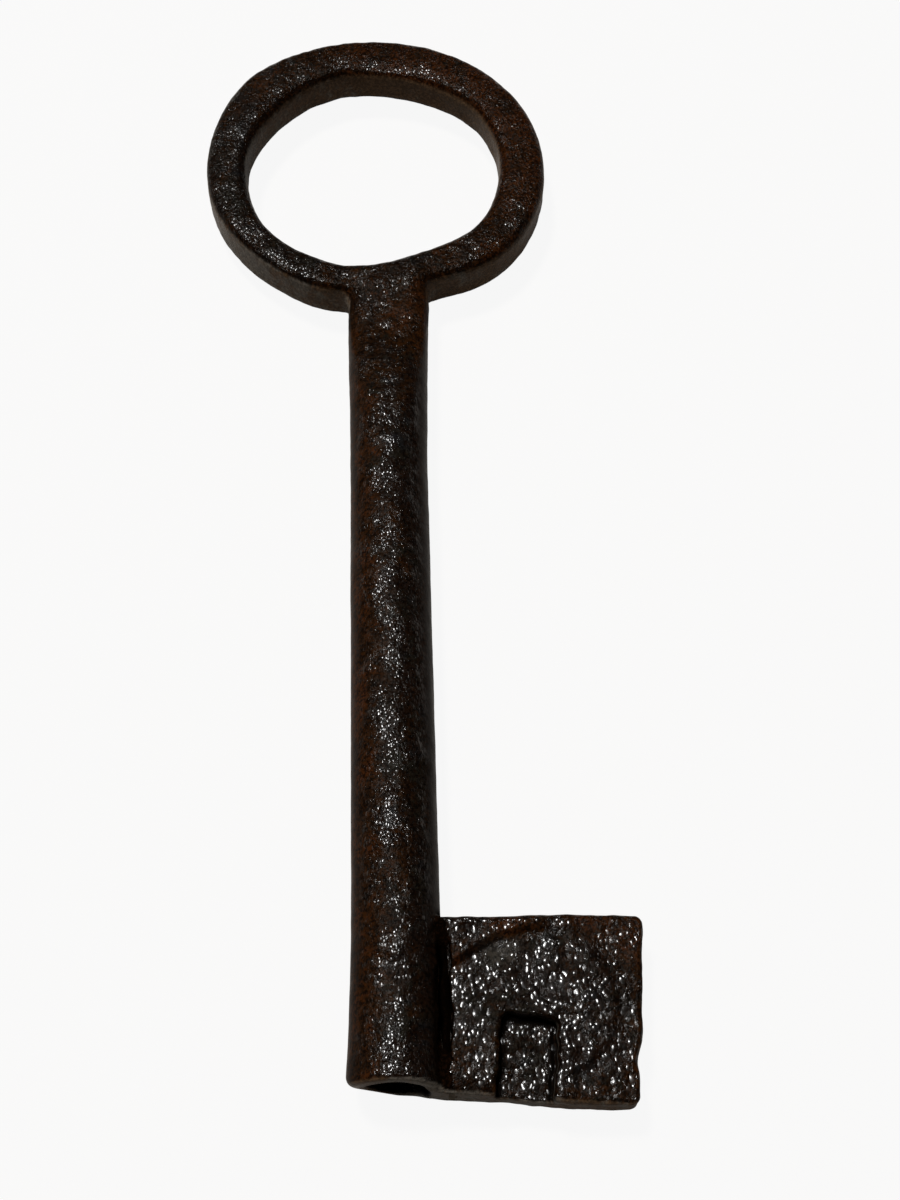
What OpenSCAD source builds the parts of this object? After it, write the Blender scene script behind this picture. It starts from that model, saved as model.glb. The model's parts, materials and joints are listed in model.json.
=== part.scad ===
// Large iron pipe key lying flat: the stem runs along Y, the bit points to +X.
// The origin is the centre of the pipe's mouth, and the bow is at the far +Y end.

/* [Stem] */
// Diameter of the round stem
stem_d = 10.4; // [9:0.1:13]
// Length of the stem from the mouth to the bow
stem_l = 110.5; // [80:0.5:150]
// How much the stem's radius grows at the mouth
mouth_flare = 0.3; // [0.05:0.05:0.6]
// Length of the flared stretch
flare_l = 8; // [4:0.5:14]
// Rounding of the mouth's outer edge
mouth_round = 0.7; // [0.3:0.1:1]
// Length of the flattened neck below the bow
neck_l = 26; // [14:1:40]
// Length of the neck's parallel stretch next to the bow
neck_flat_l = 5; // [3:0.5:10]

/* [Pipe] */
// Diameter of the bore that slides over the lock's pin
pipe_d = 7.2; // [5:0.1:7.8]
// Depth of the bore's straight wall
pipe_depth = 30; // [15:1:60]
// Depth of the conical end beyond the straight wall
drill_point_l = 2; // [1:0.5:4]

/* [Bow] */
// Outer diameter of the bow
bow_d = 50.3; // [42:0.1:60]
// Thickness of the bow
bow_t = 6.5; // [5:0.1:8]
// Mean width of the bow's bar, seen from the front
bow_w = 6.05; // [4.5:0.05:9]
// How far the bow's centre lies to the left of the stem's axis
bow_offset = 1.5; // [0:0.1:3]
// How far the eye's centre lies to the left of the bow's centre
eye_left = 0.4; // [0:0.1:0.8]
// How far the eye's centre lies below the bow's centre
eye_drop = 0.9; // [0:0.1:1]
// Rounding of the bow's edges
bow_edge_r = 1.5; // [0.5:0.1:2]

/* [Bit] */
// Reach of the bit's head corner from the stem's axis
bit_reach = 28.2; // [22:0.1:34]
// How far the foot corner falls short of the head corner
bit_foot_short = 1.4; // [0:0.1:3]
// Height of the bit's head edge above the mouth, at the stem
bit_head_y = 19; // [16:0.1:26]
// How much the head edge falls towards its tip
bit_head_fall = 0.8; // [0:0.1:2]
// How far the foot edge lies below the mouth, at the stem
bit_foot_below = 0.5; // [0:0.1:1.5]
// How much the foot edge falls towards its tip
bit_foot_fall = 2; // [0:0.1:3]
// Thickness of the bit at its root
bit_root_t = 5; // [4:0.1:6]
// Thickness of the bit at its tip
bit_tip_t = 3.8; // [3.2:0.1:5]
// Rounding of the bit's two outer corners
bit_corner_r = 1.2; // [0.5:0.1:2]
// Bevel along the root, which leaves a crease beside the stem
root_bevel = 0.9; // [0.4:0.1:1.3]

/* [Ward recess] */
// Width of the recess in the bit's face
ward_w = 6.6; // [4:0.1:9]
// Height of the recess above the foot edge
ward_h = 9.2; // [5:0.1:12]
// Distance of the recess's head from the stem's axis
ward_x = 15; // [12:0.1:18]
// Lean of the recess, in degrees
ward_lean = 6.5; // [0:0.5:9]
// Depth of the recess below the bit's mid-length face
ward_depth = 1.8; // [0.8:0.1:2.2]

/* [Joints] */
// Thickness of the brazed layer between two pieces
braze_gap = 0.2; // [0.1:0.05:0.4]
// Diameter of the stem's tenon
tenon_d = 3.6; // [2.5:0.1:4]
// Length of the tenon inside the bow
tenon_l = 3; // [2:0.1:3.6]
// Clearance round the tenon and at its end
tenon_gap = 0.1; // [0.05:0.05:0.2]
// Radius of the fillets between the stem and the bow
fillet_r = 1.2; // [0.6:0.1:2]
// Height of the filler bead in the crease along the bit
bead_h = 0.35; // [0.2:0.05:0.6]

/* [Hidden] */
$fn = 96;

stem_r = stem_d / 2;
bow_r = bow_d / 2;
eye_r = bow_r - bow_w;
bow_x = -bow_offset;
bow_y = stem_l + sqrt(bow_r * bow_r - bow_offset * bow_offset);
eye_x = bow_x - eye_left;
eye_y = bow_y - eye_drop;

// The neck's faces lie just under the bow's, so that the two meet almost flush.
neck_step = 0.1;
neck_z = bow_t / 2 - neck_step;

// Cutters and blanks run past what they cut by this much.
over = 2;
// Segments of a rounded edge.
edge_steps = 5;

// Points along an arc about c, from angle a to angle b.
function arc(c, r, a, b, steps = edge_steps) =
    [for (i = [0:steps]) c + r * [cos(a + (b - a) * i / steps), sin(a + (b - a) * i / steps)]];

// The edge from p to q, moved to its left by r.
function moved(p, q, r) =
    let (d = q - p, n = r * [-d.y, d.x] / norm(d)) [p + n, q + n];

// The point where two straight edges would cross.
function crossing(a, b) =
    let (d = a[1] - a[0], e = b[1] - b[0], k = cross(b[0] - a[0], e) / cross(d, e)) a[0] + k * d;

// Turns a shape drawn along Z so that it runs along +Y.
module along_y() {
    rotate([-90, 0, 0]) children();
}

// Outside of the round stem, grown by g, with its flared and rounded mouth at y = 0.
module stem_round(length, g = 0) {
    mouth_r = stem_r + mouth_flare;
    along_y() rotate_extrude() polygon(concat(
        [[0, 0]],
        arc([mouth_r - mouth_round + g, mouth_round], mouth_round, -90, 0),
        [[stem_r + g, flare_l], [stem_r + g, length], [0, length]]));
}

// Space round the stem that a piece seated on it leaves free, open below the mouth.
module stem_seat(g) {
    mouth_r = stem_r + mouth_flare;
    along_y() rotate_extrude() polygon([
        [0, -2 * over], [mouth_r + g, -2 * over], [mouth_r + g, mouth_round],
        [stem_r + g, flare_l], [stem_r + g, stem_l], [0, stem_l]]);
}

// Wedges that flatten the stem's front and back towards the bow.
module neck_cut() {
    for (side = [0, 1]) mirror([0, 0, side])
        rotate([90, 0, 90]) linear_extrude(height = stem_d + 2 * over, center = true) polygon([
            [stem_l - neck_l, stem_r + over],
            [stem_l - neck_l, stem_r],
            [stem_l - neck_flat_l, neck_z],
            [stem_l + bow_r, neck_z],
            [stem_l + bow_r, stem_r + over]]);
}

// The stem's outside carried on into the bow, before its end is shaped.
module stem_blank() {
    difference() {
        stem_round(stem_l + bow_r / 2);
        neck_cut();
    }
}

// The bow's solid disc with rounded edges, grown by g.
module bow_disc(g = 0) {
    r = bow_r + g;
    z = bow_t / 2 + g;
    e = bow_edge_r + g;
    translate([bow_x, bow_y, 0]) rotate_extrude() polygon(concat(
        [[0, -z]],
        arc([r - e, -z + e], e, -90, 0),
        arc([r - e, z - e], e, 0, 90),
        [[0, z]]));
}

// What the eye removes: a round hole with rounded lips.
module eye_cut() {
    r = eye_r;
    z = bow_t / 2;
    e = bow_edge_r;
    translate([eye_x, eye_y, 0]) rotate_extrude() polygon(concat(
        [[0, -z - over], [r + e, -z - over]],
        arc([r + e, -z + e], e, 270, 180),
        arc([r + e, z - e], e, 180, 90),
        [[r + e, z + over], [0, z + over]]));
}

// Tenon at the stem's end, grown by g, and the socket that it fits.
module tenon(g = 0) {
    translate([0, stem_l - over, 0]) along_y() cylinder(d = tenon_d + 2 * g, h = over + tenon_l + g);
}

// Outline of the bit seen from the front, from the stem's axis to its tip.
module bit_outline() {
    head_root = [0, bit_head_y];
    head_tip = [bit_reach, bit_head_y - bit_head_fall];
    foot_tip = [bit_reach - bit_foot_short, -bit_foot_below - bit_foot_fall];
    foot_root = [0, -bit_foot_below];
    head_a = atan2(head_tip.y - head_root.y, head_tip.x - head_root.x);
    foot_a = atan2(foot_tip.y - foot_root.y, foot_tip.x - foot_root.x);
    edge_a = atan2(head_tip.y - foot_tip.y, head_tip.x - foot_tip.x);
    r = bit_corner_r;
    foot_edge = moved(foot_root, foot_tip, r);
    tip_edge = moved(foot_tip, head_tip, r);
    head_edge = moved(head_tip, head_root, r);
    polygon(concat(
        [foot_root],
        arc(crossing(foot_edge, tip_edge), r, foot_a - 90, edge_a - 90),
        arc(crossing(tip_edge, head_edge), r, edge_a - 90, head_a + 90),
        [head_root]));
}

// Section of the bit seen along the stem: bevelled at the root, thinner to the tip.
module bit_section() {
    root = bit_root_t / 2;
    tip = bit_tip_t / 2;
    bevel_x = stem_r + root_bevel;
    half = [[0, root - root_bevel], [stem_r, root - root_bevel], [bevel_x, root], [bit_reach, tip]];
    polygon(concat(half, [for (i = [len(half) - 1:-1:0]) [half[i].x, -half[i].y]]));
}

// The bit without its recess, carried inwards to the stem's axis.
module bit_blank() {
    intersection() {
        linear_extrude(height = bit_root_t + over, center = true) bit_outline();
        translate([0, bit_head_y + over, 0]) rotate([90, 0, 0])
            linear_extrude(height = bit_head_y + bit_foot_below + bit_foot_fall + 2 * over) bit_section();
    }
}

// Recess in the front face that lets the lock's ward pass, open at the foot edge.
module ward_cut() {
    face_z = (bit_root_t + bit_tip_t) / 4;
    head_y = ward_h - bit_foot_below - bit_foot_fall / 2;
    translate([ward_x, head_y, face_z - ward_depth]) rotate(-ward_lean)
        translate([-ward_w / 2, -ward_h - 2 * over, 0]) cube([ward_w, ward_h + 2 * over, bit_root_t]);
}

// Filler blocks in the two corners between the stem's sides and the bow.
module fillet_blanks() {
    fillet_z = bow_t / 2 - bow_edge_r + braze_gap;
    for (side = [-1, 1]) {
        edge_x = side * (stem_r + fillet_r);
        touch_y = bow_y - sqrt(bow_r * bow_r - pow(edge_x - bow_x, 2));
        centre_y = touch_y - fillet_r + braze_gap;
        translate([0, 0, -fillet_z]) linear_extrude(height = 2 * fillet_z) difference() {
            translate([side > 0 ? 0 : edge_x, centre_y]) square([abs(edge_x), fillet_r + over]);
            translate([edge_x, centre_y]) circle(r = fillet_r);
        }
    }
}

module stem() {
    color([0.17, 0.13, 0.11]) difference() {
        union() {
            difference() {
                stem_blank();
                bow_disc(braze_gap);
            }
            tenon();
        }
        translate([0, -over, 0]) along_y() cylinder(d = pipe_d, h = over + pipe_depth);
        translate([0, pipe_depth, 0]) along_y() cylinder(d1 = pipe_d, d2 = 0, h = drill_point_l);
    }
}

module bow() {
    color([0.22, 0.15, 0.11]) difference() {
        bow_disc();
        eye_cut();
        tenon(tenon_gap);
    }
}

module bit() {
    color([0.2, 0.17, 0.16]) difference() {
        bit_blank();
        stem_seat(braze_gap);
        ward_cut();
    }
}

// Filler between the stem's end and the bow, with a fillet at each side.
module bow_braze() {
    color([0.3, 0.22, 0.14]) difference() {
        union() {
            intersection() {
                stem_blank();
                bow_disc(braze_gap);
            }
            fillet_blanks();
        }
        bow_disc();
        difference() {
            stem_blank();
            bow_disc(braze_gap);
        }
        tenon();
    }
}

// Filler between the stem's side and the bit's root, with a bead in each crease.
module bit_braze() {
    bead_z = bit_root_t / 2 - root_bevel + bead_h;
    foot_y = mouth_round;
    color([0.3, 0.22, 0.14]) difference() {
        translate([0, foot_y, -bead_z])
            cube([stem_r + bead_h + braze_gap, bit_head_y - braze_gap - foot_y, 2 * bead_z]);
        stem_round(stem_l);
        difference() {
            bit_blank();
            stem_seat(braze_gap);
        }
    }
}

stem();
bow();
bit();
bow_braze();
bit_braze();
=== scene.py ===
"""A large old iron pipe key, lying flat on a white ground.

The whole key is one rough, rusty surface. It is worked out as a distance field from the sizes
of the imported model, meshed as one net, roughened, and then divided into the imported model's
pieces, so that no seam shows between them. Lengths are in millimetres until a mesh is made,
and a distance field is below 0 inside.
"""
import json
import math

import bpy
import numpy as np
from mathutils import Matrix, Vector, noise


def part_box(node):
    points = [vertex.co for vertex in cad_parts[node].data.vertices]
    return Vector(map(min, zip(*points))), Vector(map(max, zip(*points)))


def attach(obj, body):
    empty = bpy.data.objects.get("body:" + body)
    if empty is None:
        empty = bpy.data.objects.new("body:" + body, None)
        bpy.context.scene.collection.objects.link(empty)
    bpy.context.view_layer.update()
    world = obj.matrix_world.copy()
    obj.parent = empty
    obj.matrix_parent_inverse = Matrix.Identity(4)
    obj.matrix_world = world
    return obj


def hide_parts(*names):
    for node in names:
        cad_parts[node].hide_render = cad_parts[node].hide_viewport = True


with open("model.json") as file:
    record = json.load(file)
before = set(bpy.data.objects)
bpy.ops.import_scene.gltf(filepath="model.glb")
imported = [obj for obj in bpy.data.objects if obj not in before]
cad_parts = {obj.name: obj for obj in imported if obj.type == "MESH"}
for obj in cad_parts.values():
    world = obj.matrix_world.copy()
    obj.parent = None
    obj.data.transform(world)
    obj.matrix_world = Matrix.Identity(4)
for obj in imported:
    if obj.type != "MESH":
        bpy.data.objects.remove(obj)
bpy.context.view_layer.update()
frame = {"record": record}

MM = 0.001


def node_box(node):
    """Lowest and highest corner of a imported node, in millimetres."""
    return [np.array(corner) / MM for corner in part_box(node)]


mounts = {mount["name"]: mount for mount in frame["record"]["mounts"]}
stem_low, stem_high = node_box("stem")
bow_low, bow_high = node_box("bow")
bit_low, bit_high = node_box("bit")

# Stem: a round bar, flared at its mouth and flattened to a neck below the bow
MOUTH_FLARE = 0.3
FLARE_LENGTH = 8
FLARE_LEFT = 0.4
FLARE_LEFT_LENGTH = 20
STEM_R = stem_high[0] - MOUTH_FLARE
NECK_START = 84.5
NECK_END = 105.5
NECK_EDGE = 1.5
NECK_SPREAD_LEFT = 0.3
NECK_SPREAD_RIGHT = 0.6
NECK_SPREAD_MOST = 1.2

# Mouth: its lower lip is worn back, most of all at the left, and its right side stands out
MOUTH_EDGE = 0.7
MOUTH_OUT = 0.45
LIP_BACK = 0.6
LIP_BACK_RIGHT = 0.5
LIP_WORN = 1.5
# Over how many stem radii its wear grows round the mouth, where on the right the lip is whole
# again, and how far before that the wear starts to fade
LIP_TURN = 1.6
LIP_END = 4
LIP_FADE = 2

# Bore: the hollow of the pipe, with the cone that the drill left
BORE_R = mounts["pipe_bore"]["dims"]["r_mm"]
BORE_DEPTH = mounts["pipe_bore"]["dims"]["length_mm"]
BORE_POINT = 2
BORE_LIP = 0.4

# Bow: a flat disc with an eye that lies a little off its centre
BOW_X, BOW_Y = (bow_low[:2] + bow_high[:2]) / 2
BOW_R = (bow_high[0] - bow_low[0]) / 2
BOW_HALF = bow_high[2]
BOW_BAR = 6.03
BOW_EDGE = 1.3
BOW_CROWN = 0.03
EYE_X, EYE_Y = np.array(mounts["bow_eye"]["pos_m"][:2]) / MM
EYE_R = BOW_R - BOW_BAR
EYE_EDGE = 1.5
NECK_THINNER = 0.05
NECK_HALF = BOW_HALF - NECK_THINNER
FILLET = 1.3
# Where the forging is uneven: direction in degrees, half width in degrees, height
BOW_SWELLS = ((50, 14, -0.2), (137, 17, 0.9), (178, 12, -0.2), (220, 18, -0.2), (250, 10, 0.3),
              (290, 12, -0.8), (322, 22, 0.85), (350, 15, 0.2))
EYE_SWELLS = ((35, 10, 0.24), (70, 23, -0.6), (95, 16, -0.25), (103, 7, 0.22), (145, 27, -0.8),
              (188, 14, -0.45), (222, 12, 0.18), (265, 12, 0.38), (298, 15, -0.98), (350, 12, -0.1))

# Bit: a plate that leans a little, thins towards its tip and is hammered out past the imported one
TIP_PROUD = 0.25
HEAD_PROUD = 0.1
BIT_REACH = bit_high[0] + TIP_PROUD
BIT_HEAD = bit_high[1] + HEAD_PROUD
BIT_HEAD_FALL = 0.5
BIT_FOOT = -0.7
BIT_FOOT_FALL = 2
BIT_FOOT_SHORT = 1.6
BIT_FOOT_CURVE = 1.3
BIT_CORNER = 1.0
BIT_EDGE = 0.7
BIT_FILLET = 0.5
ROOT_HALF = bit_high[2]
TIP_HALF = 1.9
# Nothing further up the key than this belongs to the bit
BIT_TOP = BIT_HEAD + 2
# Where the bit's edges bend: the start of the bend, its length, and how far it goes
HEAD_BEND = (13, 6, 0.35)
FOOT_BEND = (5.5, -2.2, 0.25)
TIP_BEND = (14, 2.5, 0.25)
# Dents in the bit's tip: height above the mouth, half width, depth
TIP_DENTS = ((2.2, 1.3, 0.35), (5.5, 1.5, -0.15), (10.5, 3, -0.18))

# The narrow gap along the bit's root, front and back, which runs out towards its ends
CREASE_X = 5.35
CREASE_FLOOR = 1.1
CREASE_R = 0.72
CREASE_ENDS = (1.6, 17)
CREASE_PAST = 1
CREASE_FADE = 4
CREASE_SHALLOW = 2
CREASE_EDGE = 0.5

# The fold across the bit's face, and the arc that goes on from it towards the tip
FOLD_TOP_X = 17
FOLD_TOP_Y = 17.4
FOLD_FALL = 0.037
FOLD_STEP = 0.6
FOLD_WIDTH = 1.1
FOLD_TURN = 6
ARC_X = 17
ARC_Y = 8.5
ARC_R = 7.85
ARC_STEP = 0.2

# The smooth grey patch below the fold, a little wider than it is high
PATCH_X = 12.2
PATCH_Y = 14.8
PATCH_R = 1.9
PATCH_FLAT = 1.2

# Recess in the bit's front face, open at the foot
WARD_X = 15
WARD_HEAD = 7.5
WARD_WIDTH = 6.6
WARD_LEAN = math.radians(6.5)
WARD_SKEW = math.radians(3)
WARD_DEPTH = 1.8
WARD_EDGE = 0.35
WARD_SLOPE = 0.05
WARD_CORNER = 1.1
WARD_FLOOR_EDGE = 0.4
GROOVE_DEPTH = 0.15
GROOVE_WIDTH = 0.6

# How far the recess's walls and the crease stray, as waves: height, radians in a millimetre, start
WARD_SIDE_WAVES = ((0.12, 1.1, 2), (0.08, 2.7, 0))
WARD_HEAD_WAVES = ((0.1, 1.9, 0),)
CREASE_WAVES = ((0.14, 0.9, 1), (0.07, 2.3, 2))

# The net over the key's surface: the size of its cells, how many in a row share one rough value,
# and how near the surface, in such rows, the field is worked out in full
NET_STEP = 0.238
COARSE = 4
NEAR = 1.2
MARGIN = 3
BOX_LOW = np.minimum(np.minimum(stem_low, bow_low), bit_low) - MARGIN
BOX_HIGH = np.maximum(np.maximum(stem_high, bow_high), bit_high) + MARGIN
SETTLINGS = 3
LEAST_SLOPE = 0.25

# Hammer marks, lumps and pits: the size of their cells, and their height or share of the depth
SEED = 11
HAMMERING = ((9, 0.22), (3.7, 0.2))
HAMMERING_LESS_ON_BOW = 0.07
LUMPS = ((1.9, 1.6), (1.1, 1.2))
LUMP_HEIGHT = 0.08
PITS = ((1.9, 1), (1.2, 0.7))
PIT_DEPTH = 0.12
PIT_REACH = (0.35, 0.8)
LESS_ON_BOW = 0.03
# The share of them that the stem's sides keep, how much more the walls of the bow and the bit
# keep, and the share in the bore
ROUGH_SIDES = 0.15
ROUGH_WALLS_MORE = 0.35
ROUGH_BORE = 0.06
BORE_SKIN = 0.1
# Where a wall turns into a face, and where the bow and the bit start: start and length
FACES = (0.5, 0.42)
BOW_PART = (NECK_END, 4)
BIT_PART = (CREASE_X, 2)

# Rust: where it is thick, above 0, and where it is worn away, below 0
RING_RUST = 0.2
RUSTY_SIDE = math.radians(35)
NECK_RUST = 0.2
NECK_RUST_REACH = 7
SHANK_RUST = -0.2
BLADE_RUST = -0.14
FOLD_RUST = 0.3
FOLD_RUST_WIDTH = 1.65
PATCH_RUST = -0.5
# On the bit's face above the fold and beyond the arc: how much, and over what width it grows
BEYOND_RUST = 0.26
BEYOND_ARC_WIDTH = 3
BEYOND_FOLD_WIDTH = 2
# Rust that changes along the key or across it: start of the change, its length, how far it goes
# Across the stem the left is rustier and lighter and the right darker: partly rust, partly painted
# light and shade
LEFT_RUST_AND_LIGHT = (0.5, -4, 0.3)
RIGHT_RUST_AND_SHADE = (1.5, 2, -0.12)
LOW_RUST = (BIT_HEAD + 8, -8, -0.04)
BEYOND_ARC_RUST = (FOLD_TOP_X - 3, 5, BEYOND_RUST)
BEYOND_FOLD_RUST = (9, 5, BEYOND_RUST)

# Dirt and painted shade in corners: how far from the surface the field is asked, and how much of it
# the recess holds
DIRT_AND_SHADE_REACHES = (0.7, 1.8)
DIRT_AND_SHADE_IN_WARD = 0.8
WARD_SKIN = 0.3

# Pale iron and painted light: the sides and the ends of the pipe and the bit are painted pale, a
# painted reflection of the white ground, and the patch is worn: how pale the sides and the patch are,
# how little a side faces front or back, and how much the ends of the pipe and the bit face down, and
# how far up they reach
LIT_SIDES = 0.6
LIT_SIDES_MORE_ON_BOW = 0.35
SIDE_FACING = 0.35
SIDE_FACING_MORE_ON_BOW = 0.25
BARE_PATCH = 0.25
END_FACING = 0.4
END_TOP = 2


def smooth(share):
    """0 below 0, 1 above 1, and a smooth rise between."""
    share = np.clip(share, 0, 1)
    return share * share * (3 - 2 * share)


def ramp(value, start, length, height=1):
    """0 before the start, the height a length further on, and a smooth change between."""
    return height * smooth((value - start) / length)


def hump(away, half_width, height=1):
    """A smooth hump, as high as the height where away is 0."""
    return height * np.exp(-((away / half_width) ** 2))


def straying(along, waves):
    """How far a line strays to its side, as a sum of waves."""
    return sum(height * np.sin(turn * along + start) for height, turn, start in waves)


def crossing(a, b, edge):
    """What two solids share, its edge rounded to the radius given."""
    corner = np.hypot(np.maximum(a + edge, 0), np.maximum(b + edge, 0))
    return np.minimum(np.maximum(a, b), -edge) + corner


def joining(a, b, fillet):
    """Two solids together, with a fillet of the radius given between them."""
    return -crossing(-a, -b, fillet)


def swelling(x, y, centre, swells):
    """How far an outline about the centre stands out in each direction."""
    angle = np.degrees(np.arctan2(y - centre[1], x - centre[0]))
    height = 0
    for direction, half_width, swell in swells:
        away = (angle - direction + 180) % 360 - 180
        height = height + hump(away, half_width, swell)
    return height


def on_neck(y):
    """0 along the round stem, 1 where the neck is flat."""
    return ramp(y, NECK_START, NECK_END - NECK_START)


def round_bar(x, y, z):
    """The stem's round outside, wider at the mouth, most of all on its left, and at the neck."""
    side = np.clip(x / STEM_R, -1, 1)
    flare = MOUTH_FLARE * np.clip(1 - y / FLARE_LENGTH, 0, 1) ** 2
    flare = flare + FLARE_LEFT * smooth(1 - y / FLARE_LEFT_LENGTH) * np.maximum(-side, 0)
    spread = np.where(x < 0, NECK_SPREAD_LEFT, NECK_SPREAD_RIGHT) * np.abs(side)
    spread = spread * np.clip((y - NECK_START) / (NECK_END - NECK_START), 0, NECK_SPREAD_MOST)
    return np.hypot(x, z) - STEM_R - flare - spread


def mouth_wear(x, z):
    """Where the mouth's rim stands at each place round it, and how far its edge is rounded."""
    lower = smooth(0.5 - z / STEM_R / LIP_TURN)
    lower_left = lower * smooth(0.5 - x / STEM_R / LIP_TURN)
    lower_right = LIP_BACK_RIGHT * lower * ramp(x, LIP_END, -LIP_FADE)
    rim = LIP_BACK * np.maximum(lower_left, lower_right) - MOUTH_OUT * smooth(x / STEM_R)
    return rim, MOUTH_EDGE + LIP_WORN * lower_left


def stem_field(x, y, z):
    """The stem without its bore."""
    half = STEM_R + NECK_EDGE + (NECK_HALF - STEM_R - NECK_EDGE) * on_neck(y)
    bar = crossing(round_bar(x, y, z), np.abs(z) - half, NECK_EDGE)
    rim, edge = mouth_wear(x, z)
    bar = crossing(bar, rim - y, edge)
    return np.maximum(bar, y - BOW_Y + BOW_R / 2)


def bore_field(x, y, z):
    """The pipe's bore, open at the mouth, with the cone that the drill left."""
    narrowing = 1 - np.clip((y - BORE_DEPTH) / BORE_POINT, 0, 1)
    return np.maximum(np.hypot(x, z) - BORE_R * narrowing, y - BORE_DEPTH - BORE_POINT)


def bow_outline(x, y):
    """The bow's outer edge, seen from the front."""
    return np.hypot(x - BOW_X, y - BOW_Y) - BOW_R - swelling(x, y, (BOW_X, BOW_Y), BOW_SWELLS)


def eye_outline(x, y):
    """The eye's edge, seen from the front."""
    return np.hypot(x - EYE_X, y - EYE_Y) - EYE_R - swelling(x, y, (EYE_X, EYE_Y), EYE_SWELLS)


def bow_half(x, y):
    """Half the bow's thickness: it is thickest along the middle of its bar, and flat at the neck."""
    off_middle = np.clip((bow_outline(x, y) + eye_outline(x, y)) / 2, -BOW_BAR, BOW_BAR)
    off_neck = np.where(y < BOW_Y, smooth((np.abs(x) - STEM_R / 2) / STEM_R), 1)
    return BOW_HALF - BOW_CROWN * off_middle ** 2 * off_neck


def bit_half(x):
    """Half the bit's thickness at a distance from the stem's axis."""
    along = np.clip((x - STEM_R) / (BIT_REACH - STEM_R), 0, 1)
    return ROOT_HALF + (TIP_HALF - ROOT_HALF) * along


def bit_outline(x, y):
    """The bit's outline seen from the front: a leaning plate with hammered edges."""
    along = x / BIT_REACH
    head = y - BIT_HEAD + BIT_HEAD_FALL * along ** 2 - ramp(x, *HEAD_BEND)
    foot = BIT_FOOT - BIT_FOOT_FALL * smooth(along) + ramp(x, *FOOT_BEND) - y
    down = np.maximum((BIT_HEAD - y) / (BIT_HEAD - BIT_FOOT), 0)
    dent = sum(hump(y - place, half_width, depth) for place, half_width, depth in TIP_DENTS)
    dent = dent - ramp(y, *TIP_BEND)
    tip = x - BIT_REACH + BIT_FOOT_SHORT * down ** BIT_FOOT_CURVE + dent
    return crossing(crossing(head, tip, BIT_CORNER), foot, BIT_CORNER)


def above_fold(x, y):
    """How far towards the head from the fold in the bit's face."""
    return y - FOLD_TOP_Y + FOLD_FALL * (x - FOLD_TOP_X) ** 2


def beyond_arc(x, y):
    """How far outside the arc that the fold turns into."""
    return np.hypot(x - ARC_X, y - ARC_Y) - ARC_R


def scarp(x, y):
    """How much higher the bit's face stands above its fold, and lower beyond its arc."""
    before = 1 - smooth((x - FOLD_TOP_X) / FOLD_TURN + 0.5)
    step = FOLD_STEP * smooth(above_fold(x, y) / FOLD_WIDTH + 0.5) - FOLD_STEP / 2
    fall = ARC_STEP * smooth(beyond_arc(x, y) / FOLD_WIDTH + 0.5)
    return before * step - (1 - before) * fall


def ward_field(x, y, z):
    """The recess, with uneven sloping walls and a groove in its floor along each of them."""
    cos_lean, sin_lean = math.cos(WARD_LEAN), math.sin(WARD_LEAN)
    across = (x - WARD_X) * cos_lean - (y - WARD_HEAD) * sin_lean
    up = (x - WARD_X) * sin_lean + (y - WARD_HEAD) * cos_lean + across * math.tan(WARD_SKEW)
    inwards = WARD_SLOPE * (bit_half(x) - z)
    side = np.abs(across + straying(y, WARD_SIDE_WAVES)) - WARD_WIDTH / 2 + inwards
    head = up + straying(x, WARD_HEAD_WAVES) + inwards
    walls = crossing(side, head, WARD_CORNER)
    floor = bit_half(x) - WARD_DEPTH - hump(walls, GROOVE_WIDTH, GROOVE_DEPTH)
    return crossing(walls, floor - z, WARD_FLOOR_EDGE)


def bit_field(x, y, z):
    """The bit with its recess."""
    face = np.abs(z) - bit_half(x) - np.where(z > 0, scarp(x, y), 0)
    plate = crossing(crossing(bit_outline(x, y), face, BIT_EDGE), -x, BIT_EDGE)
    return crossing(plate, -ward_field(x, y, z), WARD_EDGE)


def crease_field(x, y, z):
    """The narrow gaps along the bit's root, front and back."""
    start, end = CREASE_ENDS
    from_end = np.minimum(y - start, end - y)
    shallow = ramp(from_end, CREASE_FADE, -CREASE_FADE, CREASE_SHALLOW)
    under = np.minimum(np.abs(z) - CREASE_FLOOR - shallow, 0)
    aside = x - CREASE_X - straying(y, CREASE_WAVES)
    return np.maximum(np.hypot(aside, under) - CREASE_R, -CREASE_PAST - from_end)


def key_field(points):
    """The whole key."""
    x, y, z = points.T
    disc = crossing(bow_outline(x, y), np.abs(z) - bow_half(x, y), BOW_EDGE)
    key = joining(stem_field(x, y, z), disc, FILLET)
    key = crossing(key, -eye_outline(x, y), EYE_EDGE)
    key = joining(key, bit_field(x, y, z), BIT_FILLET)
    key = crossing(key, -crease_field(x, y, z), CREASE_EDGE)
    return crossing(key, -bore_field(x, y, z), BORE_LIP)


def slope(field, points, reach=0.02):
    """The field's direction of steepest rise, not made unit length."""
    rise = [field(points + reach * way) - field(points - reach * way) for way in np.eye(3)]
    return np.stack(rise, 1) / (2 * reach)


def sample(field, low, high, step):
    """The field on a fine grid, worked out in full only where the surface may pass."""
    coarse = step * COARSE
    count = np.ceil((high - low) / coarse).astype(int)
    cells = np.stack(np.meshgrid(*[np.arange(n) for n in count], indexing="ij"), -1)
    rough = field(low + (cells.reshape(-1, 3) + 0.5) * coarse).reshape(count)
    for axis in range(3):
        rough = np.repeat(rough, COARSE, axis)
    near = np.argwhere(np.abs(rough) < coarse * NEAR)
    rough[tuple(near.T)] = field(low + (near + 0.5) * step)
    return rough, low + 0.5 * step


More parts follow.
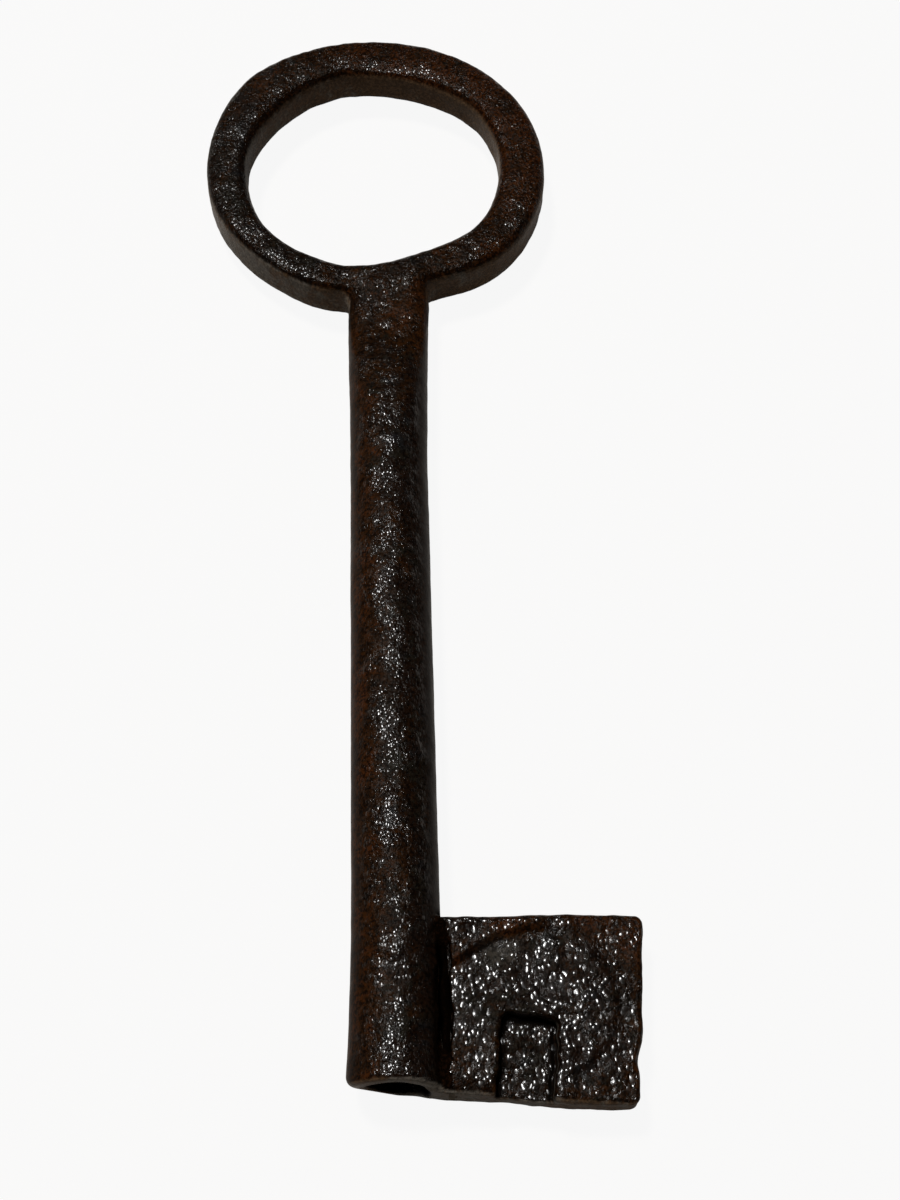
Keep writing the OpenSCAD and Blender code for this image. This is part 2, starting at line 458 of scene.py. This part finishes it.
def net(values, low, step):
    """Quads over a grid's zero level, with one corner in each cell that the level crosses."""
    ways = np.eye(3, dtype=int)
    corners = np.array([(i, j, k) for i in (0, 1) for j in (0, 1) for k in (0, 1)])
    size = np.array(values.shape) - 1
    inside = values < 0
    held = sum(inside[tuple(slice(c, c + n) for c, n in zip(corner, size))].astype(int)
               for corner in corners)
    cells = np.argwhere((held > 0) & (held < len(corners)))
    number = np.full(size, -1)
    number[tuple(cells.T)] = np.arange(len(cells))
    total = np.zeros((len(cells), 3))
    hits = np.zeros(len(cells))
    for way in ways:
        for corner in corners[corners @ way == 0]:
            first = values[tuple((cells + corner).T)]
            second = values[tuple((cells + corner + way).T)]
            crossed = (first < 0) != (second < 0)
            share = first[crossed] / (first[crossed] - second[crossed])
            total[crossed] += corner + share[:, None] * way
            hits += crossed
    quads = []
    for axis in range(3):
        one, two = ways[(axis + 1) % 3], ways[(axis + 2) % 3]
        ends = np.diff(inside.astype(int), axis=axis)
        for leaving in (-1, 1):
            edges = np.argwhere(ends == leaving)
            around = [edges - one - two, edges - two, edges, edges - one][::-leaving]
            quads.append(np.stack([number[tuple(cell.T)] for cell in around], 1))
    return low + (cells + total / hits[:, None]) * step, np.concatenate(quads)


def key_net():
    """The net over the whole key, with its corners drawn onto the field's zero level."""
    corners, faces = net(*sample(key_field, BOX_LOW, BOX_HIGH, NET_STEP), NET_STEP)
    for settling in range(SETTLINGS):
        rise = slope(key_field, corners)
        steepness = np.maximum((rise ** 2).sum(1), LEAST_SLOPE)
        corners -= (key_field(corners) / steepness)[:, None] * rise
    return corners, faces


def vertex_normals(points, quads):
    """Unit normals of a mesh of quads, averaged over the faces at each vertex."""
    corners = points[quads]
    facing = np.cross(corners[:, 2] - corners[:, 0], corners[:, 3] - corners[:, 1])
    total = np.zeros_like(points)
    for corner in range(4):
        np.add.at(total, quads[:, corner], facing)
    return total / np.linalg.norm(total, axis=1)[:, None]


def perlin(points, cell, seed):
    """Smooth random heights about 0, with about one hill or dip in each cell."""
    return np.array([noise.noise(place) for place in (points / cell + seed * 10).tolist()])


def pits(points, cell, seed):
    """Depths from 0 to 1 of round pits, one in each cell, of many sizes."""
    least, most = PIT_REACH
    place = (points - BOX_LOW) / cell + 1
    base = np.floor(place).astype(int)
    size = np.ceil((BOX_HIGH - BOX_LOW) / cell).astype(int) + 4
    random = np.random.default_rng(seed)
    centre = random.uniform(0, 1, (*size, 3))
    reach = random.uniform(least, most, size)
    deepest = np.zeros(len(points))
    for corner in np.ndindex(3, 3, 3):
        there = base + corner - 1
        index = tuple(there.T)
        away = np.linalg.norm(place - there - centre[index], axis=1) / reach[index]
        deepest = np.maximum(deepest, smooth(1 - away) * reach[index] / most)
    return deepest


def hammer_marks(points, on_bow):
    """The broad marks that the hammer left, as heights."""
    (broad, broad_height), (fine, fine_height) = HAMMERING
    fine_height = fine_height - HAMMERING_LESS_ON_BOW * on_bow
    return broad_height * perlin(points, broad, SEED) + fine_height * perlin(points, fine, SEED + 1)


def scale_and_pits(points, on_bow):
    """The lumps of scale and the rust pits, as heights about 0."""
    (large, large_height), (small, small_height) = LUMPS
    lumps = large_height * perlin(points, large, SEED + 2)
    lumps = lumps + small_height * perlin(points, small, SEED + 3)
    (wide, wide_share), (narrow, narrow_share) = PITS
    pitting = np.maximum(wide_share * pits(points, wide, SEED + 4),
                         narrow_share * pits(points, narrow, SEED + 5))
    heights = (LUMP_HEIGHT - LESS_ON_BOW * on_bow) * lumps
    heights = heights - (PIT_DEPTH - LESS_ON_BOW * on_bow) * pitting
    return heights - heights.mean()


def roughness(points, facing, on_bow):
    """The share of the marks and pits that each place keeps: all on a face, few on a wall."""
    x, y, z = points.T
    in_bore = (np.hypot(x, z) < BORE_R + BORE_SKIN) & (y < BORE_DEPTH + BORE_POINT)
    on_bit = ramp(x, *BIT_PART) * (y < BIT_TOP)
    on_walls = ROUGH_SIDES + ROUGH_WALLS_MORE * np.maximum(on_bit, on_bow)
    on_walls = np.where(in_bore, ROUGH_BORE, on_walls)
    return on_walls + (1 - on_walls) * ramp(facing, *FACES)


def on_patch(x, y):
    """1 in the middle of the smooth grey patch below the fold, 0 away from it."""
    return hump(np.hypot(x - PATCH_X, PATCH_FLAT * (y - PATCH_Y)), PATCH_R)


def rust_map(x, y):
    """Where the rust is thick, above 0, and where it is worn away, below 0, with painted light and
    shade.
    """
    ring = RING_RUST * np.cos(np.arctan2(y - BOW_Y, x - BOW_X) - RUSTY_SIDE)
    neck = hump(y - NECK_END, NECK_RUST_REACH, NECK_RUST)
    # The stem's left side painted lighter and its right side darker, as painted light and shade
    shank = ramp(x, *LEFT_RUST_AND_LIGHT) + SHANK_RUST + ramp(x, *RIGHT_RUST_AND_SHADE) + ramp(y, *LOW_RUST)
    by_fold = hump(above_fold(x, y), FOLD_RUST_WIDTH) * (x < FOLD_TOP_X)
    past_arc = smooth(beyond_arc(x, y) / BEYOND_ARC_WIDTH) * ramp(x, *BEYOND_ARC_RUST)
    past_fold = smooth(above_fold(x, y) / BEYOND_FOLD_WIDTH) * ramp(x, *BEYOND_FOLD_RUST)
    blade = FOLD_RUST * by_fold + np.maximum(past_arc, past_fold)
    blade = blade + BLADE_RUST + PATCH_RUST * on_patch(x, y)
    on_blade = smooth(x - STEM_R) * (y < BIT_TOP)
    below = shank + on_blade * (blade - shank)
    return neck + on_neck(y) * ring + (1 - on_neck(y)) * below


def closed_in(points, normals):
    """0 on an open face, and more the deeper a place lies in a corner, where dirt gathers and shade
    is painted.
    """
    shares = [1 - key_field(points + reach * normals) / reach for reach in DIRT_AND_SHADE_REACHES]
    closed = sum(shares) / len(shares)
    return np.where(ward_field(*points.T) < WARD_SKIN, DIRT_AND_SHADE_IN_WARD * closed, closed)


def worn_bare_and_lit(points, normals, facing, on_bow):
    """Pale on the sides and on the pipe's and bit's ends, as painted light, and on the worn patch."""
    x, y = points[:, 0], points[:, 1]
    at_ends = ramp(-normals[:, 1], END_FACING, END_FACING) * (y < END_TOP)
    on_sides = smooth((SIDE_FACING + SIDE_FACING_MORE_ON_BOW * on_bow - facing) / SIDE_FACING)
    on_sides = (LIT_SIDES + LIT_SIDES_MORE_ON_BOW * on_bow) * on_sides
    polished = BARE_PATCH * on_patch(x, y) * (normals[:, 2] > 0)
    return np.maximum(np.maximum(on_sides, at_ends), polished)


PIECES = ("stem", "bow", "bit", "bow_braze", "bit_braze")
# From where to where the filler of a joint shows, off the bow's outline and off the stem's side
BOW_JOINT = (0.1, 0.9)
BIT_JOINT = (0.15, 0.95)
# How far off the bit's root, or off the crease, the surface may lie and still belong to it
BIT_SKIN = 0.5
CREASE_SKIN = 0.15


def piece_numbers(places):
    """Which of the pieces each place on the surface belongs to."""
    x, y, z = places.T
    off_bar = round_bar(x, y, z)
    off_bow = bow_outline(x, y)
    by_bit = (x > 0) & (y < BIT_TOP) & (np.abs(z) < ROOT_HALF + BIT_SKIN)
    by_bow = (np.abs(x) < STEM_R + FILLET) & (y < BOW_Y)
    number = np.full(len(places), PIECES.index("stem"))
    number[(off_bow < BOW_JOINT[0]) | ~by_bow & (y > NECK_END)] = PIECES.index("bow")
    number[by_bow & (off_bow >= BOW_JOINT[0]) & (off_bow < BOW_JOINT[1])] = PIECES.index("bow_braze")
    number[by_bit & (off_bar > BIT_JOINT[0])] = PIECES.index("bit_braze")
    number[by_bit & (off_bar > BIT_JOINT[1])] = PIECES.index("bit")
    number[crease_field(x, y, z) < CREASE_SKIN] = PIECES.index("bit_braze")
    return number


points, quads = key_net()
normals = vertex_normals(points, quads)
facing = np.abs(normals[:, 2])
on_bow = ramp(points[:, 1], *BOW_PART)
relief = scale_and_pits(points, on_bow)
rough = roughness(points, facing, on_bow)
rust = rust_map(points[:, 0], points[:, 1])
hollow = closed_in(points, normals)
points = points + ((hammer_marks(points, on_bow) + relief) * rough)[:, None] * normals
normals = vertex_normals(points, quads)
bare_and_lit = worn_bare_and_lit(points, normals, facing, on_bow)
label = piece_numbers(points[quads].mean(1))

# What the mesh's points carry for the materials
LAYERS = {"relief": relief, "hollow": hollow, "rust": rust, "rough": rough, "bare_and_lit": bare_and_lit}


def edges_of(faces):
    """Every face's four edges, as pairs of points."""
    return np.concatenate([faces[:, (n, (n + 1) % 4)] for n in range(4)]).tolist()


# The piece that the face on each edge's own side belongs to
owner = dict(zip(map(tuple, edges_of(quads)), np.tile(label, 4).tolist()))


def piece_mesh(name, which):
    """One piece of the net, closed with a fan over each edge that it shares with another."""
    own = quads[label == which]
    open_edges = {}
    for start, end in edges_of(own):
        other = owner[end, start]
        if other != which:
            open_edges.setdefault(other, []).append((end, start))
    used, index = np.unique(own, return_inverse=True)
    place = {vertex: n for n, vertex in enumerate(used.tolist())}
    corners = [points[used]]
    faces = index.reshape(-1, 4).tolist()
    for other, rim in sorted(open_edges.items()):
        hub = len(used) + len(corners) - 1
        corners.append(points[[start for start, end in rim]].mean(0)[None])
        faces += [(place[start], place[end], hub) for start, end in rim]
    mesh = bpy.data.meshes.new(name)
    mesh.from_pydata(np.concatenate(corners) * MM, [], faces)
    mesh.polygons.foreach_set("use_smooth", [True] * len(faces))
    hubs = len(corners) - 1
    mesh.normals_split_custom_set_from_vertices(
        np.concatenate([normals[used], np.tile((0, 0, 1), (hubs, 1))]))
    for layer, values in LAYERS.items():
        attribute = mesh.attributes.new(layer, "FLOAT", "POINT")
        attribute.data.foreach_set("value", np.append(values[used], np.zeros(hubs)))
    return mesh


class Graph:
    """The nodes of one shader, added a call at a time."""

    def __init__(self, tree):
        self.tree = tree
        self.tree.nodes.clear()

    def fill(self, socket, value):
        """Links a socket to another node's output, or sets its value."""
        if isinstance(value, bpy.types.NodeSocket):
            self.tree.links.new(value, socket)
        else:
            socket.default_value = value

    def add(self, kind, inputs=(), **settings):
        """A node, its inputs given by name or number."""
        node = self.tree.nodes.new("ShaderNode" + kind)
        for name, value in settings.items():
            setattr(node, name, value)
        for name, value in dict(inputs).items():
            self.fill(node.inputs[name], value)
        return node

    def layer(self, name):
        """What the mesh's points carry under a name."""
        return self.add("Attribute", attribute_name=name).outputs["Fac"]

    def maths(self, operation, *values):
        """The result of one Math node."""
        return self.add("Math", enumerate(values), operation=operation).outputs[0]

    def product(self, first, *others):
        """All the values multiplied."""
        for other in others:
            first = self.maths("MULTIPLY", first, other)
        return first

    def plus(self, base, value, share):
        """The base, and a share of a value on top of it."""
        return self.maths("MULTIPLY_ADD", value, share, base)

    def rest(self, value):
        """What a value leaves of 1."""
        return self.maths("SUBTRACT", 1.0, value)

    def noise(self, where, scale, detail=2, roughness=0.5, distortion=0):
        """Noise about 0, with scale cells to the millimetre."""
        node = self.add("TexNoise", dict(Vector=where, Scale=scale, Detail=detail,
                                         Roughness=roughness, Distortion=distortion))
        return self.maths("SUBTRACT", node.outputs["Fac"], 0.5)

    def rise(self, value, ends, less=0):
        """0 up to the first end and 1 from the second on, smooth between, both ends moved down."""
        first, second = ends
        inputs = {"Value": value, "From Min": first - less, "From Max": second - less}
        return self.add("MapRange", inputs, interpolation_type="SMOOTHSTEP").outputs[0]

    def blend(self, share, first, second):
        """The first colour where the share is 0, the second where it is 1."""
        node = self.add("Mix", {0: share, 6: first, 7: second}, data_type="RGBA")
        return node.outputs[2]

    def raised(self, height):
        """The normals of a surface raised by a height in millimetres."""
        return self.add("Bump", {"Strength": 1.0, "Distance": MM, "Height": height}).outputs[0]


def colour(red, green, blue):
    """A linear colour."""
    return (red, green, blue, 1)


BROWN = colour(0.0085, 0.0035, 0.0015)
RUST = colour(0.022, 0.0082, 0.0022)
EMBER = colour(0.043, 0.0125, 0.0028)
GREY = colour(0.0105, 0.0082, 0.0052)
SLATE = colour(0.009, 0.0088, 0.0094)
# Pale iron and pale rust: worn iron on the patch, and painted light on the sides and the ends
BARE_AND_LIT = colour(0.17, 0.148, 0.12)
TARNISH_LIT = colour(0.13, 0.078, 0.042)
# Nearly black: for dark specks, and for dirt with painted shade in corners
GRIME_AND_SHADE = colour(0.0012, 0.0006, 0.0003)
SHEEN = colour(1, 0.93, 0.84)

# Patterns in the iron, in cells to the millimetre
RUST_STREAKS = 0.3
RUST_SPECKS = 0.9
WORN_PATCHES = 0.2
WORN_SPECKS = 1.1
DARK_SPECKS = 2.2
WET_PATCHES = 0.35
GRAINS = 2.8
# How much streaks and grains are drawn out along the key, and the way that the grains lie
STREAK_SHAPE = (1, 0.45, 1)
GRAIN_SHAPE = (1, 0.75, 1)
GRAIN_TURN = math.radians(-20)
# From how far aside the worn pattern is taken, so that it doesn't follow the rust
ASIDE = (37, 11, 5)

# Between which values of its pattern each look grows from none to full
RUSTY = (-0.15, 0.2)
EMBERS = (0.12, 0.4)
WORN = (0, 0.28)
SLATY = (0, 0.15)
SPECKLED = (0, -0.14)
DIRTY_AND_SHADED = (0.08, 0.45)
FILMED = (-0.12, 0.16)

# How strongly patterns work on one another
RUST_BY_SPECKS = 1.2
WORN_BY_SPECKS = 1.3
WORN_BY_RUST = -0.4
WORN_BY_HEIGHT = 0.8
SPECK_DARKNESS = 0.85
SPECKS_BY_BARE_AND_LIT = -0.5
DROPS_BY_WET = 3.0
DROPS_BY_RUST = -0.5
DROPS_BY_BARE_AND_LIT = -3.0
DULL_BY_WORN = 0.06
DULL_BY_WET = -0.3
FILM_BY_RUST = -0.7
FILM_POWER = 1.6

# Oily droplets: between which chances one shows and grows to its full reach, the least reach in
# a cell, how much more it may be, the rim, the slope there and the roughness, and the most of
# the thin film between them
DROP_SHOWN = (1, 1.1)
DROP_GROWN = (1, 1.7)
DROP_LEAST = 0.14
DROP_MORE = 0.47
DROP_RIM = (0, 0.02)
DROP_SLOPE = 0.36
DROP_GLOSS = 0.2
THIN_FILM = 0.22


def iron_material(name, rust, grey, grain, uneven, many, shine, dull, wet, specks):
    """Old iron: brown, with rust, worn grey patches, a dull sheen and oily droplets, painted shade in
    corners.

    rust and grey say how much of it is rusty or worn grey, grain how large a droplet's cell is
    in millimetres, many how many cells hold one, uneven how far the grains stand out, shine and
    dull how strong and how rough the iron's own sheen is, wet whether there is oil on it, and
    specks how many dark specks it has.
    """
    material = bpy.data.materials.new(name)
    material.use_nodes = True
    graph = Graph(material.node_tree)
    where = graph.add("TexCoord").outputs["Object"]
    where = graph.add("VectorMath", {0: where, 1: (1 / MM,) * 3}, operation="MULTIPLY").outputs[0]
    aside = graph.add("VectorMath", {0: where, 1: ASIDE}).outputs[0]
    relief_here, hollow_here, rust_here, rough_here, bare_and_lit_here = map(graph.layer, LAYERS)

    # Rust in streaks and specks, and its brightest parts
    streaks = graph.add("Mapping", {"Vector": where, "Scale": STREAK_SHAPE}).outputs[0]
    rusty = graph.plus(rust_here, graph.noise(streaks, RUST_STREAKS, distortion=0.5), 1.0)
    flecks = graph.noise(where, RUST_SPECKS, detail=5, roughness=0.75)
    rusty = graph.plus(rusty, flecks, RUST_BY_SPECKS)
    ember = graph.rise(rusty, EMBERS, rust)
    rusty = graph.rise(rusty, RUSTY, rust)

    # Worn grey patches, on the high places that have little rust
    worn = graph.plus(graph.noise(aside, WORN_PATCHES, distortion=0.4), rust_here, WORN_BY_RUST)
    flecks = graph.noise(aside, WORN_SPECKS, detail=5, roughness=0.7)
    worn = graph.plus(worn, flecks, WORN_BY_SPECKS)
    worn = graph.plus(worn, relief_here, WORN_BY_HEIGHT)
    worn = graph.product(graph.rise(worn, WORN, grey), rough_here)

    # Dark specks all over, and dirt with painted shade in the corners, the crease and the recess
    speckled = graph.noise(where, DARK_SPECKS, detail=3, roughness=0.75)
    speckled = graph.product(graph.rise(speckled, SPECKLED, -specks), SPECK_DARKNESS)
    speckled = graph.product(speckled, graph.plus(1.0, bare_and_lit_here, SPECKS_BY_BARE_AND_LIT))
    grime_and_shade = graph.rise(hollow_here, DIRTY_AND_SHADED)

    # Droplets, where it is wet and neither rusty, worn nor painted pale: drop is 1 on one and 0
    # between them
    patchy = graph.noise(aside, WET_PATCHES, detail=3)
    drawn = {"Vector": where, "Rotation": (0, 0, GRAIN_TURN), "Scale": GRAIN_SHAPE}
    drawn = graph.add("Mapping", drawn).outputs[0]
    cells = graph.add("TexVoronoi", dict(Vector=drawn, Scale=1 / grain))
    chance = graph.add("SeparateColor", {0: cells.outputs["Color"]}).outputs[0]
    chance = graph.plus(chance, patchy, DROPS_BY_WET)
    chance = graph.plus(chance, rusty, DROPS_BY_RUST)
    chance = graph.plus(chance, bare_and_lit_here, DROPS_BY_BARE_AND_LIT)
    reach = graph.plus(DROP_LEAST, graph.rise(chance, DROP_GROWN, many), DROP_MORE)
    away = graph.maths("POWER", cells.outputs["Distance"], 2.0)
    inside = graph.maths("SUBTRACT", graph.maths("POWER", reach, 2.0), away)
    drop = graph.product(graph.rise(inside, DROP_RIM), graph.rise(chance, DROP_SHOWN, many))
    between = graph.rest(drop)

    # The iron's colour and its roughness
    tone = graph.blend(rusty, BROWN, RUST)
    tone = graph.blend(ember, tone, EMBER)
    tone = graph.blend(worn, tone, graph.blend(graph.rise(patchy, SLATY), GREY, SLATE))
    # Sides and ends painted pale as painted light from the white ground, and the worn patch pale too
    tone = graph.blend(bare_and_lit_here, tone, graph.blend(rusty, BARE_AND_LIT, TARNISH_LIT))
    tone = graph.blend(speckled, tone, GRIME_AND_SHADE)
    # Corners, the crease and the recess painted nearly black: partly dirt, partly painted shade
    tone = graph.blend(grime_and_shade, tone, GRIME_AND_SHADE)
    gloss = graph.plus(dull, worn, DULL_BY_WORN)
    gloss = graph.plus(gloss, patchy, DULL_BY_WET)
    gloss = graph.plus(gloss, grime_and_shade, graph.rest(gloss))

    # A film of oil, thick in the droplets and thin between them
    thin = graph.product(graph.rise(patchy, FILMED), THIN_FILM)
    thin = graph.product(thin, graph.plus(1.0, rusty, FILM_BY_RUST))
    film = graph.product(graph.plus(drop, between, thin), graph.rest(grime_and_shade))
    film = graph.product(film, graph.product(graph.maths("POWER", rough_here, FILM_POWER), wet))

    # The heights of the grains, and of the droplets that stand on them
    grains = graph.product(graph.noise(drawn, GRAINS, roughness=0.6), uneven, rough_here)
    dome = graph.maths("DIVIDE", graph.maths("MAXIMUM", inside, 0.0), reach)
    dome = graph.product(dome, DROP_SLOPE / 2 * grain, rough_here)
    shader = graph.add("BsdfPrincipled", {
        "Base Color": tone, "Roughness": gloss, "Normal": graph.raised(grains),
        "Specular IOR Level": shine, "Specular Tint": SHEEN,
        "Coat Weight": film, "Coat Roughness": DROP_GLOSS,
        "Coat Normal": graph.raised(graph.plus(dome, grains, between))})
    output = graph.add("OutputMaterial")
    graph.tree.links.new(shader.outputs[0], output.inputs["Surface"])
    return material


MATERIALS = {
    "stem": iron_material("stem_iron", rust=0.1, grey=-0.1, grain=0.42, uneven=0.18, many=1.05,
                          shine=0.045, dull=0.33, wet=1.0, specks=0.055),
    "bow": iron_material("bow_iron", rust=0.13, grey=-0.03, grain=0.42, uneven=0.22, many=1.05,
                         shine=0.06, dull=0.26, wet=1.0, specks=0.09),
    "bit": iron_material("bit_iron", rust=0.06, grey=-0.02, grain=0.66, uneven=0.18, many=1.3,
                         shine=0.04, dull=0.34, wet=1.0, specks=0.07),
    "bow_braze": iron_material("bow_braze_filler", rust=0.13, grey=-0.05, grain=0.42, uneven=0.22,
                               many=1.0, shine=0.06, dull=0.28, wet=1.0, specks=0.09),
    "bit_braze": iron_material("bit_braze_filler", rust=-0.3, grey=-0.3, grain=0.4, uneven=0.2,
                               many=0.2, shine=0.0, dull=0.4, wet=0.0, specks=0.1),
}
for which, name in enumerate(PIECES):
    piece = bpy.data.objects.new(name + "_forged", piece_mesh(name, which))
    bpy.context.scene.collection.objects.link(piece)
    piece.data.materials.append(MATERIALS[name])
    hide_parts(name)
    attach(piece, "root")

# The ground's side in metres is twice this
GROUND_HALF = 3.0
GROUND_MATT = colour(0.42, 0.38, 0.34)
WHITE = colour(1, 1, 1)
# How much of the ground is plain white, to the camera and to a reflection
GROUND_WHITE_SEEN = 0.92
GROUND_WHITE_REFLECTED = 0.1
# The even light from all round, where white is 1
ROOM_LIGHT = 0.015
# The width of the camera's sensor in millimetres, and its nearest distance in metres
SENSOR = 36
NEAREST = 0.01


def ground():
    """A white ground under the key, plain white to the camera but for the key's faint shadow."""
    low = points[:, 2].min() * MM
    ways = ((-1, -1), (1, -1), (1, 1), (-1, 1))
    mesh = bpy.data.meshes.new("ground")
    mesh.from_pydata([(x * GROUND_HALF, y * GROUND_HALF, low) for x, y in ways], [], [(0, 1, 2, 3)])
    floor = bpy.data.objects.new("ground", mesh)
    bpy.context.scene.collection.objects.link(floor)
    material = bpy.data.materials.new("ground")
    material.use_nodes = True
    graph = Graph(material.node_tree)
    rays = graph.add("LightPath").outputs
    matt = graph.add("BsdfDiffuse", {"Color": GROUND_MATT}).outputs[0]
    white = graph.add("Emission", {"Color": WHITE, "Strength": 1.0}).outputs[0]
    reflected = graph.maths("MAXIMUM", rays["Is Glossy Ray"], rays["Is Transmission Ray"])
    reflected = graph.product(reflected, GROUND_WHITE_REFLECTED)
    share = graph.plus(reflected, rays["Is Camera Ray"], GROUND_WHITE_SEEN)
    mixed = graph.add("MixShader", {0: share, 1: matt, 2: white}).outputs[0]
    graph.tree.links.new(mixed, graph.add("OutputMaterial").inputs["Surface"])
    mesh.materials.append(material)


def lamp(name, place, size, power):
    """A square area light that shines at the middle of the key."""
    light = bpy.data.lights.new(name, "AREA")
    light.size = size
    light.energy = power
    holder = bpy.data.objects.new(name, light)
    away = Vector(np.subtract(place, (0, BOW_Y / 2 * MM, 0)))
    holder.location = place
    holder.rotation_mode = "QUATERNION"
    holder.rotation_quaternion = away.to_track_quat("Z", "Y")
    bpy.context.scene.collection.objects.link(holder)


def surroundings():
    """A low even light from all round, and white where the camera looks past the ground."""
    world = bpy.data.worlds.new("surroundings")
    world.use_nodes = True
    bpy.context.scene.world = world
    graph = Graph(world.node_tree)
    seen = graph.add("LightPath").outputs["Is Camera Ray"]
    level = graph.plus(ROOM_LIGHT, seen, 1 - ROOM_LIGHT)
    light = graph.add("Background", {"Color": WHITE, "Strength": level}).outputs[0]
    graph.tree.links.new(light, graph.add("OutputWorld").inputs["Surface"])


def camera(place, turn, tilt, roll, lens):
    """The photograph's viewpoint, above the mouth and looking up along the key: angles in degrees."""
    view = bpy.data.cameras.new("camera")
    view.lens = lens
    view.sensor_width = SENSOR
    view.clip_start = NEAREST
    holder = bpy.data.objects.new("camera", view)
    turned = Matrix.Rotation(math.radians(turn), 4, "Z")
    tilted = Matrix.Rotation(math.radians(tilt), 4, "X")
    rolled = Matrix.Rotation(math.radians(roll), 4, "Z")
    holder.matrix_world = Matrix.Translation(place) @ turned @ tilted @ rolled
    bpy.context.scene.collection.objects.link(holder)
    bpy.context.scene.camera = holder


ground()
lamp("key_light", place=(-0.28, 0.38, 1.15), size=0.17, power=14)
surroundings()
camera(place=(0.002444, -0.03982, 0.1849), turn=-2.91, tilt=28.82, roll=1.36, lens=49.06)
bpy.context.scene.view_settings.view_transform = "Standard"
